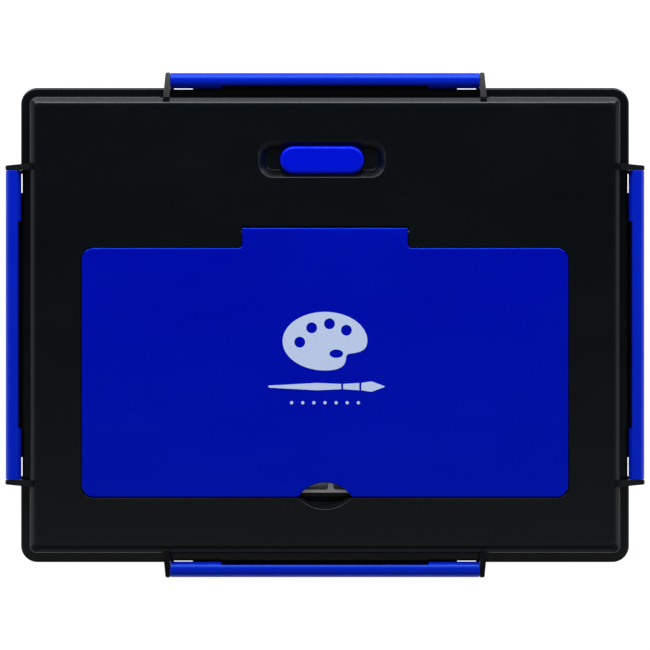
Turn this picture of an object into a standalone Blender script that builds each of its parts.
"""Wet palette: a shallow water tray with foam and a membrane, under a latched lid with a storage door.

Numbers are millimetres, turned into Blender's metres by MM. X runs along the long side,
Y from front to back and Z up, with the origin under the middle of the feet.
"""
import math

import bmesh
import bpy
from mathutils import Matrix, Vector

MM = 0.001

# Lid: a flat rim around a raised plateau
RIM_X, RIM_Y, RIM_CORNER = 152.0, 118.6, 8.3
RIM_BOTTOM, RIM_TOP = 27.0, 29.4
STEP_IN = 5.6                      # from the rim's edge to the plateau
WALL_DRAFT = 0.5                   # how far the plateau's foot stands outside its top
LID_TOP = 40.0
LID_PLATE = 2.2
OVERLAP = 0.8                      # how far joined shapes run into each other

# Seal between lid and base
GROOVE_OUT, GROOVE_WIDTH, GROOVE_DEPTH = 6.2, 3.6, 2.4
SEAL_WIDTH, SEAL_BOTTOM, SEAL_TOP = 3.0, 27.7, 29.1
LIP_WIDTH, LIP_TOP = 1.6, 31.0

# Base tray
BASE_SMALLER = 0.6                 # how far the base's rim stays behind the lid's
BASE_BOTTOM, BASE_FLOOR, BASE_TOP = 1.5, 3.7, 26.6
BASE_RIM_UNDER = 22.0
BASE_WALL_IN = 7.4                 # from the lid's rim to the base wall's outer face
BASE_WALL = 2.6
TONGUE_WIDTH, TONGUE_TOP = 1.2, 27.4
FOOT_RADIUS, FOOT_INSET = 8.0, 24.0
FOAM_GAP, FOAM_BOTTOM, FOAM_TOP = 2.2, 4.0, 9.0
SHEET_BOTTOM, SHEET_TOP = 9.3, 9.6

# Latches: a barrel between two ears, with a flap that hooks under a ledge of the base
PIVOT_OUT, PIVOT_Z = 3.0, 34.0     # pivot axis, outside the rim's edge
BARREL_RADIUS = 3.9
LATCH_HALF = 76.6
LATCH_WAIST_HALF, LATCH_WAIST = 51.5, 2.4
FLAP_THICKNESS, FLAP_LENGTH = 2.0, 22.2
HOOK_HALF, HOOK_TOP, HOOK_REACH = 65.5, -12.3, -1.5
LEDGE_HALF, LEDGE_OUT, LEDGE_BOTTOM, LEDGE_TOP = 66.3, 3.5, 22.2, 24.8
NOTCH = 1.2                        # how far the lid's rim draws back beside each latch
BASE_NOTCH = NOTCH + 0.4
NOTCH_MORE = 1.2                   # how far the notches run past the ears' inner faces
EAR_INNER, EAR_ROOT, EAR_TIP = 77.0, 3.4, 2.3
EAR_REACH, EAR_TOP = 4.1, 39.8
EAR_BACK, EAR_FOOT = 10.6, 9.0     # from the pivot to its root in the plateau, above and below
EAR_ROOT_LOW = 36.8                # height above which the root reaches furthest in
EAR_NECK = 3.3                     # where its round tip meets the underside
EAR_CROWN, EAR_SLOPE = 1.7, 20.0   # radius of the tip's upper corner, and the slope of the top
PIN_RADIUS, PIN_HOLE = 0.9, 1.2

# Storage door
DOOR_X, DOOR_FRONT, DOOR_BACK = 120.6, -85.4, 38.3
DOOR_CORNER, DOOR_UNDER = 6.0, 37.9
TAB_X, TAB_BACK, TAB_FILLET = 41.1, 48.2, 1.6
DOOR_GAP, TAB_BACK_GAP = 0.5, 1.1
DOOR_PIN_HALF, LATCH_PIN_HALF = 44.6, 79.2
BORE_REACH = 90.0                  # longer than half of any bore
HINGE_Y, HINGE_Z, HINGE_RADIUS = 46.0, 38.0, 1.9
NOTCH_RADIUS, NOTCH_RISE = 16.0, 7.3
SCOOP_RADIUS, SCOOP_RADIUS_LOW, SCOOP_DROP, SCOOP_LOW_Z = 18.0, 13.6, 6.0, 32.5

# Compartment under the door
PAN_X, PAN_FRONT, PAN_BACK = 117.8, -87.0, 33.4
PAN_WALL, PAN_BOTTOM, PAN_FLOOR = 1.5, 27.5, 29.1
PAN_RIM_UNDER, PAN_RIM_TOP = 36.0, 37.5
PAN_RIM_X, PAN_RIM_FRONT, PAN_RIM_BACK = 125.0, -90.5, 43.0
POCKET_WALL, POCKET_FLOOR = 1.6, 34.6
POCKET_SIDE = 2.4                  # extra width beside the hinge pocket
PAN_CORNER, PAN_RIM_CORNER = 5.0, 9.0
SCOOP_BLOCK_X, SCOOP_BLOCK_OUT = 16.0, 7.5

# Wells tray, loose in the compartment
TRAY_CENTRE_X, TRAY_HALF_X = 2.9, 112.4
TRAY_FRONT, TRAY_BACK = -83.3, 28.7
TRAY_BOTTOM, TRAY_FLOOR, TRAY_TOP = 29.5, 30.9, 36.4
TRAY_WALL, TRAY_RIB = 1.6, 2.7
WELL_DEPTH, WELL_COUNT, BASIN_COUNT = 30.0, 6, 2

# Vent plug in a sloped recess
VENT_X, VENT_Y = -1.5, 81.8
RECESS_HALF, RECESS_RADIUS, RECESS_FLOOR, RECESS_SLOPE = 31.8, 9.2, 36.4, 4.2
PLUG_HALF, PLUG_RADIUS, PLUG_TOP, PLUG_UNDER = 20.9, 7.0, 40.2, 35.8
SOCKET_GAP, SOCKET_FLOOR, SOCKET_BOTTOM = 0.4, 34.6, 33.0
THROAT_HALF, THROAT_RADIUS = 15.0, 3.5
STEM_GAP, STEM_BOTTOM = 0.5, 33.3
GRILLE_TOP, GRILLE_BOTTOM = 32.7, 31.6

CORNER_STEPS = 5
ROUND_STEPS = 24

BLACK = (0.012, 0.014, 0.016)
BLUE = (0.004, 0.012, 0.42)
SIDES = {"right": 0, "back": 90, "left": 180, "front": 270}


def new_material(name, color, roughness, metallic=0.0):
    """A plain Principled material."""
    material = bpy.data.materials.new(name)
    material.use_nodes = True
    shader = material.node_tree.nodes["Principled BSDF"]
    shader.inputs["Base Color"].default_value = (*color, 1.0)
    shader.inputs["Roughness"].default_value = roughness
    shader.inputs["Metallic"].default_value = metallic
    return material


def arc(centre_x, centre_y, radius, start, end, steps):
    """Points on an arc, with both ends, in degrees anticlockwise."""
    angles = [math.radians(start + (end - start) * i / steps) for i in range(steps + 1)]
    return [(centre_x + radius * math.cos(a), centre_y + radius * math.sin(a)) for a in angles]


def rounded(low_x, high_x, low_y, high_y, radius, steps=CORNER_STEPS):
    """Anticlockwise outline of a rectangle with round corners."""
    return (
        arc(high_x - radius, high_y - radius, radius, 0, 90, steps)
        + arc(low_x + radius, high_y - radius, radius, 90, 180, steps)
        + arc(low_x + radius, low_y + radius, radius, 180, 270, steps)
        + arc(high_x - radius, low_y + radius, radius, 270, 360, steps)
    )


def inset_rim(inset, z, smallest=3.0):
    """One ring of the lid or base: the rim's outline moved in by inset, at height z."""
    radius = max(RIM_CORNER - inset, smallest)
    x, y = RIM_X - inset, RIM_Y - inset
    return rounded(-x, x, -y, y, radius), z


def stadium(half_length, radius, steps=10):
    """Outline with two round ends, around the vent's centre."""
    reach = half_length - radius
    return (
        arc(VENT_X + reach, VENT_Y, radius, -90, 90, steps)
        + arc(VENT_X - reach, VENT_Y, radius, 90, 270, steps)
    )


def mesh_object(name, bm):
    """Turns a closed bmesh in millimetres into an object."""
    bmesh.ops.remove_doubles(bm, verts=bm.verts, dist=1e-5)
    bmesh.ops.recalc_face_normals(bm, faces=bm.faces)
    bmesh.ops.scale(bm, vec=(MM, MM, MM), verts=bm.verts)
    mesh = bpy.data.meshes.new(name)
    bm.to_mesh(mesh)
    bm.free()
    made = bpy.data.objects.new(name, mesh)
    bpy.context.scene.collection.objects.link(made)
    return made


def loft(name, rings):
    """A closed body through rings of equally many points, capped at both ends."""
    bm = bmesh.new()
    rows = [[bm.verts.new((x, y, z)) for x, y in outline] for outline, z in rings]
    for low, high in zip(rows, rows[1:]):
        for i in range(len(low)):
            j = (i + 1) % len(low)
            bm.faces.new((low[i], low[j], high[j], high[i]))
    bm.faces.new(rows[0])
    bm.faces.new(rows[-1])
    return mesh_object(name, bm)


def upright(name, outline, low, high):
    """A vertical prism."""
    return loft(name, [(outline, low), (outline, high)])


def box(name, low, high):
    """A box between two corners."""
    outline = [(low[0], low[1]), (high[0], low[1]), (high[0], high[1]), (low[0], high[1])]
    return upright(name, outline, low[2], high[2])


def rod(name, centre, direction, radius, low, high, steps=ROUND_STEPS):
    """A cylinder along direction, from low to high measured from centre."""
    bm = bmesh.new()
    bmesh.ops.create_cone(
        bm, cap_ends=True, segments=steps, radius1=radius, radius2=radius, depth=high - low
    )
    turn = Vector(direction).to_track_quat("Z", "Y").to_matrix().to_4x4()
    middle = Vector(centre) + Vector(direction) * (low + high) / 2
    bmesh.ops.transform(bm, matrix=Matrix.Translation(middle) @ turn, verts=bm.verts)
    return mesh_object(name, bm)


def along_side(name, profile, low, high, taper=None):
    """A body whose (outward, up) profile runs along the side from low to high.

    Local X is outward, local Y along the side. taper gives the far end's place for a point.
    """
    bm = bmesh.new()
    near = [bm.verts.new((u, low, z)) for u, z in profile]
    far = [bm.verts.new((u, taper(u) if taper else high, z)) for u, z in profile]
    for i in range(len(near)):
        j = (i + 1) % len(near)
        bm.faces.new((near[i], near[j], far[j], far[i]))
    bm.faces.new(near)
    bm.faces.new(far)
    return mesh_object(name, bm)


def combine(target, operation, tool):
    """Applies one exact Boolean to target's mesh and removes the tool."""
    modifier = target.modifiers.new(operation.title(), "BOOLEAN")
    modifier.operation = operation
    modifier.solver = "EXACT"
    modifier.object = tool
    graph = bpy.context.evaluated_depsgraph_get()
    shaped = bpy.data.meshes.new_from_object(target.evaluated_get(graph))
    target.modifiers.clear()
    target.data = shaped
    bpy.data.objects.remove(tool)


def cut(target, tool):
    combine(target, "DIFFERENCE", tool)


def join(target, tool):
    combine(target, "UNION", tool)


def finish(made, material, origin=(0, 0, 0)):
    """Gives an object its material, smooth shading and an origin, without moving its shape."""
    made.data.materials.clear()
    made.data.materials.append(material)
    made.data.shade_smooth()
    made.data.set_sharp_from_angle(angle=math.radians(35))
    shift = Vector(origin) * MM
    made.data.transform(Matrix.Translation(-shift))
    made.location = shift
    return made


def turned(made, side):
    """Turns a body made for the right side to another side, about the vertical middle axis."""
    made.data.transform(Matrix.Rotation(math.radians(SIDES[side]), 4, "Z"))
    return made


def rim_reach(side):
    """Distance from the middle to the rim's edge on a side."""
    return RIM_X if side in ("left", "right") else RIM_Y


def door_outline(grow, back_gap):
    """The door's outline, moved out by grow, and by back_gap behind the hinge tab."""
    x, tab = DOOR_X + grow, TAB_X + grow
    front, back = DOOR_FRONT - grow, DOOR_BACK + grow
    corner = DOOR_CORNER + grow
    fillet = max(TAB_FILLET - grow, 0.6)
    steps = CORNER_STEPS
    return (
        arc(x - corner, back - corner, corner, 0, 90, steps)
        + arc(tab + fillet, back + fillet, fillet, 270, 180, steps)
        + [(tab, TAB_BACK + back_gap), (-tab, TAB_BACK + back_gap)]
        + arc(-tab - fillet, back + fillet, fillet, 0, -90, steps)
        + arc(-x + corner, back - corner, corner, 90, 180, steps)
        + arc(-x + corner, front + corner, corner, 180, 270, steps)
        + arc(x - corner, front + corner, corner, 270, 360, steps)
    )


def scoop_cutter():
    """The tapered round finger scoop in front of the door."""
    centre = DOOR_FRONT - SCOOP_DROP + SCOOP_RADIUS
    slope = (SCOOP_RADIUS - SCOOP_RADIUS_LOW) / (LID_TOP - SCOOP_LOW_Z)
    above = LID_TOP + 2.0
    return loft("scoop", [
        (arc(0, centre, SCOOP_RADIUS_LOW, 0, 350, 35), SCOOP_LOW_Z),
        (arc(0, centre, SCOOP_RADIUS + slope * 2.0, 0, 350, 35), above),
    ])


def ear(side, sign):
    """One latch ear, tapering from the plateau to its round tip."""
    pivot = rim_reach(side) + PIVOT_OUT
    root, tip = -EAR_BACK, EAR_REACH
    under = RIM_TOP - 1.2
    crown = arc(EAR_REACH - EAR_CROWN, PIVOT_Z, EAR_CROWN, 0, 90 - EAR_SLOPE, 5)
    crown_u, crown_z = crown[-1]
    shoulder = crown_u - (EAR_TOP - crown_z) / math.tan(math.radians(EAR_SLOPE))
    profile = [(root, EAR_ROOT_LOW), (-EAR_FOOT, under), (-EAR_NECK, under)]
    profile += arc(0, PIVOT_Z, EAR_REACH, -100, 0, 8)[:-1]
    profile += crown
    profile += [(shoulder, EAR_TOP), (root, EAR_TOP)]

    def outer(u):
        share = (u - pivot - root) / (tip - root)
        return sign * (EAR_INNER + EAR_ROOT + (EAR_TIP - EAR_ROOT) * share)

    placed = [(pivot + u, z) for u, z in profile]
    return turned(along_side("ear", placed, sign * EAR_INNER, None, outer), side)


def pin_hole(side):
    pivot = rim_reach(side) + PIVOT_OUT
    bore = rod("hole", (pivot, 0, PIVOT_Z), (0, 1, 0), PIN_HOLE, -BORE_REACH, BORE_REACH)
    return turned(bore, side)


def rim_notch(side, edge_in, low, high):
    """Cutter that draws a rim back between the ears of one side."""
    reach = rim_reach(side)
    half = EAR_INNER + NOTCH_MORE
    return turned(box("notch", (reach - edge_in, -half, low), (reach + 5, half, high)), side)


def make_lid(material):
    """Lid shell: rim, plateau, seal groove, ears, door opening, hinge pocket and vent recess."""
    wall_out = STEP_IN - WALL_DRAFT
    groove_in = GROOVE_OUT + GROOVE_WIDTH
    lip_in = groove_in + LIP_WIDTH
    under = LID_TOP - LID_PLATE
    lid = loft("lid_shell", [
        inset_rim(STEP_IN + 1.8, LID_TOP),
        inset_rim(STEP_IN + 0.5, LID_TOP - 0.6),
        inset_rim(STEP_IN, LID_TOP - 1.8),
        inset_rim(wall_out, RIM_TOP),
        inset_rim(0.5, RIM_TOP),
        inset_rim(0.0, RIM_TOP - 0.5),
        inset_rim(0.0, RIM_BOTTOM + 0.4),
        inset_rim(0.4, RIM_BOTTOM),
        inset_rim(GROOVE_OUT, RIM_BOTTOM),
        inset_rim(GROOVE_OUT, RIM_BOTTOM + GROOVE_DEPTH),
        inset_rim(groove_in, RIM_BOTTOM + GROOVE_DEPTH),
        inset_rim(groove_in, RIM_BOTTOM),
        inset_rim(lip_in, RIM_BOTTOM),
        inset_rim(lip_in, LIP_TOP),
        inset_rim(STEP_IN + 2.2, LIP_TOP + 1.5),
        inset_rim(STEP_IN + 2.6, under),
    ])
    for side in SIDES:
        cut(lid, rim_notch(side, NOTCH, RIM_BOTTOM - 1, RIM_TOP + 1))
        for sign in (-1, 1):
            join(lid, ear(side, sign))
        cut(lid, pin_hole(side))

    # Hinge pocket under the tab
    outer_x = TAB_X + DOOR_GAP + POCKET_WALL + POCKET_SIDE
    inner_back = TAB_BACK + TAB_BACK_GAP
    front = DOOR_BACK - 2.3
    join(lid, box(
        "pocket", (-outer_x, front, POCKET_FLOOR - POCKET_WALL),
        (outer_x, inner_back + POCKET_WALL + 0.6, under + OVERLAP),
    ))
    cut(lid, box(
        "pocket room", (-TAB_X - DOOR_GAP, front + POCKET_WALL, POCKET_FLOOR),
        (TAB_X + DOOR_GAP, inner_back, LID_TOP - 1.0),
    ))
    cut(lid, upright("opening", door_outline(DOOR_GAP, TAB_BACK_GAP), under - 0.3, LID_TOP + 2))
    cut(lid, rod("pin hole", (0, HINGE_Y, HINGE_Z), (1, 0, 0), PIN_HOLE, -45.0, 45.0))
    cut(lid, scoop_cutter())

    # Vent recess with its socket
    join(lid, upright("vent block", stadium(RECESS_HALF + 1.4, RECESS_RADIUS + 1.4),
                      SOCKET_BOTTOM, under + OVERLAP))
    over = (LID_TOP - RECESS_FLOOR) / RECESS_SLOPE
    grow = 1.0 / over
    cut(lid, loft("recess", [
        (stadium(RECESS_HALF - RECESS_SLOPE, RECESS_RADIUS - RECESS_SLOPE), RECESS_FLOOR),
        (stadium(RECESS_HALF + grow, RECESS_RADIUS + grow), LID_TOP + 1.0),
    ]))
    cut(lid, upright("socket", stadium(PLUG_HALF + SOCKET_GAP, PLUG_RADIUS + SOCKET_GAP),
                     SOCKET_FLOOR, LID_TOP + 2))
    cut(lid, upright("throat", stadium(THROAT_HALF, THROAT_RADIUS), SOCKET_BOTTOM - 1, LID_TOP))
    return finish(lid, material)


def make_base(material):
    """Base tray: floor, walls, rim with the seal's tongue and the four catch ledges."""
    tongue_out = GROOVE_OUT + (GROOVE_WIDTH - TONGUE_WIDTH) / 2
    inner = BASE_WALL_IN + BASE_WALL
    base = loft("base_tray", [
        inset_rim(BASE_WALL_IN + 3.2, BASE_BOTTOM),
        inset_rim(BASE_WALL_IN + 1.2, BASE_BOTTOM + 1.5),
        inset_rim(BASE_WALL_IN, BASE_RIM_UNDER),
        inset_rim(BASE_SMALLER + 0.4, BASE_RIM_UNDER),
        inset_rim(BASE_SMALLER, BASE_RIM_UNDER + 0.4),
        inset_rim(BASE_SMALLER, BASE_TOP - 0.4),
        inset_rim(BASE_SMALLER + 0.4, BASE_TOP),
        inset_rim(tongue_out, BASE_TOP),
        inset_rim(tongue_out, TONGUE_TOP),
        inset_rim(tongue_out + TONGUE_WIDTH, TONGUE_TOP),
        inset_rim(tongue_out + TONGUE_WIDTH, BASE_TOP),
        inset_rim(inner, BASE_TOP),
        inset_rim(inner + 0.8, BASE_FLOOR + 1.5),
        inset_rim(inner + 2.1, BASE_FLOOR),
    ])
    for side in SIDES:
        reach = rim_reach(side)
        cut(base, rim_notch(side, BASE_NOTCH, BASE_RIM_UNDER - 1, BASE_TOP + 1))
        join(base, turned(box(
            "ledge", (reach - 3.0, -LEDGE_HALF, LEDGE_BOTTOM),
            (reach + LEDGE_OUT, LEDGE_HALF, LEDGE_TOP),
        ), side))
    return finish(base, material)


def ring(name, outer, inner, low, high):
    """A flat ring between two outlines of equally many points."""
    made = upright(name, outer, low, high)
    cut(made, upright("hollow", inner, low - 1, high + 1))
    return made


def make_lid_seal(material):
    """Seal ring in the lid's groove."""
    out = GROOVE_OUT + (GROOVE_WIDTH - SEAL_WIDTH) / 2
    outline, _ = inset_rim(out, 0)
    hollow, _ = inset_rim(out + SEAL_WIDTH, 0)
    return finish(ring("lid_seal", outline, hollow, SEAL_BOTTOM, SEAL_TOP), material)


def make_foam_and_sheet(foam_material, sheet_material):
    """Hydration foam on the base's floor, and the palette sheet on it."""
    inset = BASE_WALL_IN + BASE_WALL + 0.8 + FOAM_GAP
    outline, _ = inset_rim(inset, 0)
    finish(upright("hydration_foam", outline, FOAM_BOTTOM, FOAM_TOP), foam_material)
    outline, _ = inset_rim(inset + 0.6, 0)
    finish(upright("palette_sheet", outline, SHEET_BOTTOM, SHEET_TOP), sheet_material)


def make_feet(material):
    """Four round feet under the base."""
    x, y = RIM_X - FOOT_INSET, RIM_Y - FOOT_INSET
    gap = 0.3
    for name, sx, sy in (
        ("foot_front_left", -1, -1), ("foot_front_right", 1, -1),
        ("foot_back_left", -1, 1), ("foot_back_right", 1, 1),
    ):
        foot = loft(name, [
            (arc(sx * x, sy * y, FOOT_RADIUS - 0.8, 0, 345, 23), 0.0),
            (arc(sx * x, sy * y, FOOT_RADIUS, 0, 345, 23), 0.5),
            (arc(sx * x, sy * y, FOOT_RADIUS, 0, 345, 23), BASE_BOTTOM - gap),
        ])
        finish(foot, material)


def make_pan(material):
    """Compartment pan, fixed under the lid's plate around the door opening."""
    out = PAN_WALL
    pan = loft("compartment_pan", [
        (rounded(-PAN_X + 1, PAN_X - 1, PAN_FRONT + 1, PAN_BACK - 1, 4), PAN_BOTTOM),
        (rounded(-PAN_X - out, PAN_X + out, PAN_FRONT - out, PAN_BACK + out, 6), PAN_BOTTOM + 2),
        (rounded(-PAN_X - out, PAN_X + out, PAN_FRONT - out, PAN_BACK + out, 6), PAN_RIM_UNDER),
        (rounded(-PAN_RIM_X, PAN_RIM_X, PAN_RIM_FRONT, PAN_RIM_BACK, PAN_RIM_CORNER), PAN_RIM_UNDER),
        (rounded(-PAN_RIM_X, PAN_RIM_X, PAN_RIM_FRONT, PAN_RIM_BACK, PAN_RIM_CORNER), PAN_RIM_TOP),
        (rounded(-PAN_X, PAN_X, PAN_FRONT, PAN_BACK, PAN_CORNER), PAN_RIM_TOP),
        (rounded(-PAN_X, PAN_X, PAN_FRONT, PAN_BACK, PAN_CORNER), PAN_FLOOR + 1.5),
        (rounded(-PAN_X + 1.5, PAN_X - 1.5, PAN_FRONT + 1.5, PAN_BACK - 1.5, 4), PAN_FLOOR),
    ])
    pocket_x = TAB_X + DOOR_GAP + POCKET_WALL + POCKET_SIDE + 0.4
    cut(pan, box("hinge room", (-pocket_x, PAN_BACK + PAN_WALL + 0.4, PAN_RIM_UNDER - 1),
                 (pocket_x, PAN_RIM_BACK + 2, PAN_RIM_TOP + 1)))
    join(pan, box(
        "scoop block", (-SCOOP_BLOCK_X, PAN_FRONT - SCOOP_BLOCK_OUT, SCOOP_LOW_Z - 2),
        (SCOOP_BLOCK_X, PAN_FRONT - OVERLAP, PAN_RIM_TOP),
    ))
    cut(pan, scoop_cutter())
    return finish(pan, material)


def make_tray(material):
    """Wells tray: a front row of wells and wide basins behind them."""
    low_x, high_x = TRAY_CENTRE_X - TRAY_HALF_X, TRAY_CENTRE_X + TRAY_HALF_X
    tray = upright(
        "wells_tray", rounded(low_x, high_x, TRAY_FRONT, TRAY_BACK, 4, 4), TRAY_BOTTOM, TRAY_TOP
    )
    well_back = TRAY_FRONT + TRAY_WALL + WELL_DEPTH
    for count, front, back in (
        (WELL_COUNT, TRAY_FRONT + TRAY_WALL, well_back),
        (BASIN_COUNT, well_back + TRAY_RIB, TRAY_BACK - TRAY_WALL),
    ):
        width = (2 * (TRAY_HALF_X - TRAY_WALL) - (count - 1) * TRAY_RIB) / count
        for i in range(count):
            left = low_x + TRAY_WALL + i * (width + TRAY_RIB)
            cut(tray, loft("well", [
                (rounded(left + 1.2, left + width - 1.2, front + 1.2, back - 1.2, 2.5, 3), TRAY_FLOOR),
                (rounded(left, left + width, front, back, 2.5, 3), TRAY_FLOOR + 1.6),
                (rounded(left, left + width, front, back, 2.5, 3), TRAY_TOP + 1),
            ]))
    return finish(tray, material)


def make_door(material):
    """Door with its hinge tab, barrel and finger notch; its origin is on the hinge axis."""
    edge = 0.5
    door = loft("storage_door", [
        (door_outline(0, 0), DOOR_UNDER),
        (door_outline(0, 0), LID_TOP - edge),
        (door_outline(-edge, -edge), LID_TOP),
    ])
    join(door, rod("barrel", (0, HINGE_Y, HINGE_Z), (1, 0, 0), HINGE_RADIUS, 0.2 - TAB_X, TAB_X - 0.2))
    cut(door, rod("bore", (0, HINGE_Y, HINGE_Z), (1, 0, 0), PIN_HOLE, -TAB_X - 2, TAB_X + 2))
    centre = DOOR_FRONT + NOTCH_RISE - NOTCH_RADIUS
    cut(door, rod("notch", (0, centre, LID_TOP), (0, 0, 1), NOTCH_RADIUS, -5, 5, 48))
    return finish(door, material, (0, HINGE_Y, HINGE_Z))


def make_vent(plug_material, seal_material, grille_material):
    """Vent plug with its stem, the seal under its head, and the grille under the throat."""
    edge = 1.2
    plug = loft("vent_plug", [
        (stadium(THROAT_HALF - STEM_GAP, THROAT_RADIUS - STEM_GAP), STEM_BOTTOM),
        (stadium(THROAT_HALF - STEM_GAP, THROAT_RADIUS - STEM_GAP), PLUG_UNDER),
        (stadium(PLUG_HALF, PLUG_RADIUS), PLUG_UNDER),
        (stadium(PLUG_HALF, PLUG_RADIUS), PLUG_TOP - edge),
        (stadium(PLUG_HALF - edge * 0.3, PLUG_RADIUS - edge * 0.3), PLUG_TOP - edge * 0.3),
        (stadium(PLUG_HALF - edge, PLUG_RADIUS - edge), PLUG_TOP),
    ])
    finish(plug, plug_material, (VENT_X, VENT_Y, PLUG_UNDER))
    seal = ring(
        "vent_seal", stadium(PLUG_HALF - 1, PLUG_RADIUS - 1), stadium(THROAT_HALF, THROAT_RADIUS + 0.2),
        SOCKET_FLOOR + 0.2, PLUG_UNDER - 0.25,
    )
    finish(seal, seal_material)
    grille = upright("vent_grille", stadium(19, 7), GRILLE_BOTTOM, GRILLE_TOP)
    for i in range(-3, 4):
        x = VENT_X + i * 4.0
        cut(grille, upright("slot", rounded(x - 1, x + 1, VENT_Y - 3.2, VENT_Y + 3.2, 0.9, 3),
                            GRILLE_BOTTOM - 1, GRILLE_TOP + 1))
    finish(grille, grille_material)


def latch_shape():
    """A latch around its own axis: barrel, flap and hook, made for the right side."""
    inner = BARREL_RADIUS - FLAP_THICKNESS
    join_angle = math.degrees(math.acos(inner / BARREL_RADIUS))
    profile = [(inner + 0.4, -FLAP_LENGTH), (BARREL_RADIUS - 0.4, -FLAP_LENGTH),
               (BARREL_RADIUS, 0.4 - FLAP_LENGTH)]
    profile += arc(0, 0, BARREL_RADIUS, 0, 360 - join_angle, 20)
    profile += [(inner, 0.4 - FLAP_LENGTH)]
    latch = along_side("latch", profile, -LATCH_HALF, LATCH_HALF)
    hook = [(HOOK_REACH, HOOK_TOP), (HOOK_REACH, HOOK_TOP - 0.9), (inner + 0.8, HOOK_TOP - 3.2),
            (inner + 0.8, HOOK_TOP)]
    join(latch, along_side("hook", hook, -HOOK_HALF, HOOK_HALF))
    cut(latch, rod("bore", (0, 0, 0), (0, 1, 0), PIN_HOLE, -90, 90, 16))
    half = LATCH_WAIST_HALF
    cut(latch, box("waist", (-6, -half, -6), (-LATCH_WAIST, half, 6)))
    return latch


def make_latches(latch_material, pin_material):
    """Four latches and their pins, which share one mesh each."""
    shape = finish(latch_shape(), latch_material)
    pin = rod("pin", (0, 0, 0), (0, 1, 0), PIN_RADIUS, -LATCH_PIN_HALF, LATCH_PIN_HALF, 16)
    finish(pin, pin_material)
    for side, angle in SIDES.items():
        turn = math.radians(angle)
        out = (rim_reach(side) + PIVOT_OUT) * MM
        for name, made in ((f"latch_{side}", shape), (f"latch_pin_{side}", pin)):
            placed = bpy.data.objects.new(name, made.data)
            bpy.context.scene.collection.objects.link(placed)
            placed.location = (out * math.cos(turn), out * math.sin(turn), PIVOT_Z * MM)
            placed.rotation_euler = (0, 0, turn)
    bpy.data.objects.remove(shape)
    bpy.data.objects.remove(pin)


def main():
    for old in list(bpy.data.objects):
        bpy.data.objects.remove(old)
    black = new_material("black plastic", BLACK, 0.42)
    blue = new_material("blue plastic", BLUE, 0.38)
    rubber = new_material("grey rubber", (0.05, 0.05, 0.055), 0.7)
    white = new_material("white plastic", (0.8, 0.8, 0.79), 0.35)
    foam = new_material("foam", (0.75, 0.62, 0.2), 0.95)
    membrane = new_material("membrane", (0.85, 0.85, 0.82), 0.6)
    steel = new_material("steel", (0.55, 0.55, 0.56), 0.3, 1.0)
    make_base(black)
    make_feet(rubber)
    make_foam_and_sheet(foam, membrane)
    make_lid(black)
    make_lid_seal(rubber)
    make_pan(black)
    make_tray(white)
    make_door(blue)
    hinge = (0, HINGE_Y, HINGE_Z)
    finish(rod("door_hinge_pin", hinge, (1, 0, 0), PIN_RADIUS, -DOOR_PIN_HALF, DOOR_PIN_HALF, 16), steel)
    make_vent(blue, rubber, black)
    make_latches(blue, steel)


main()
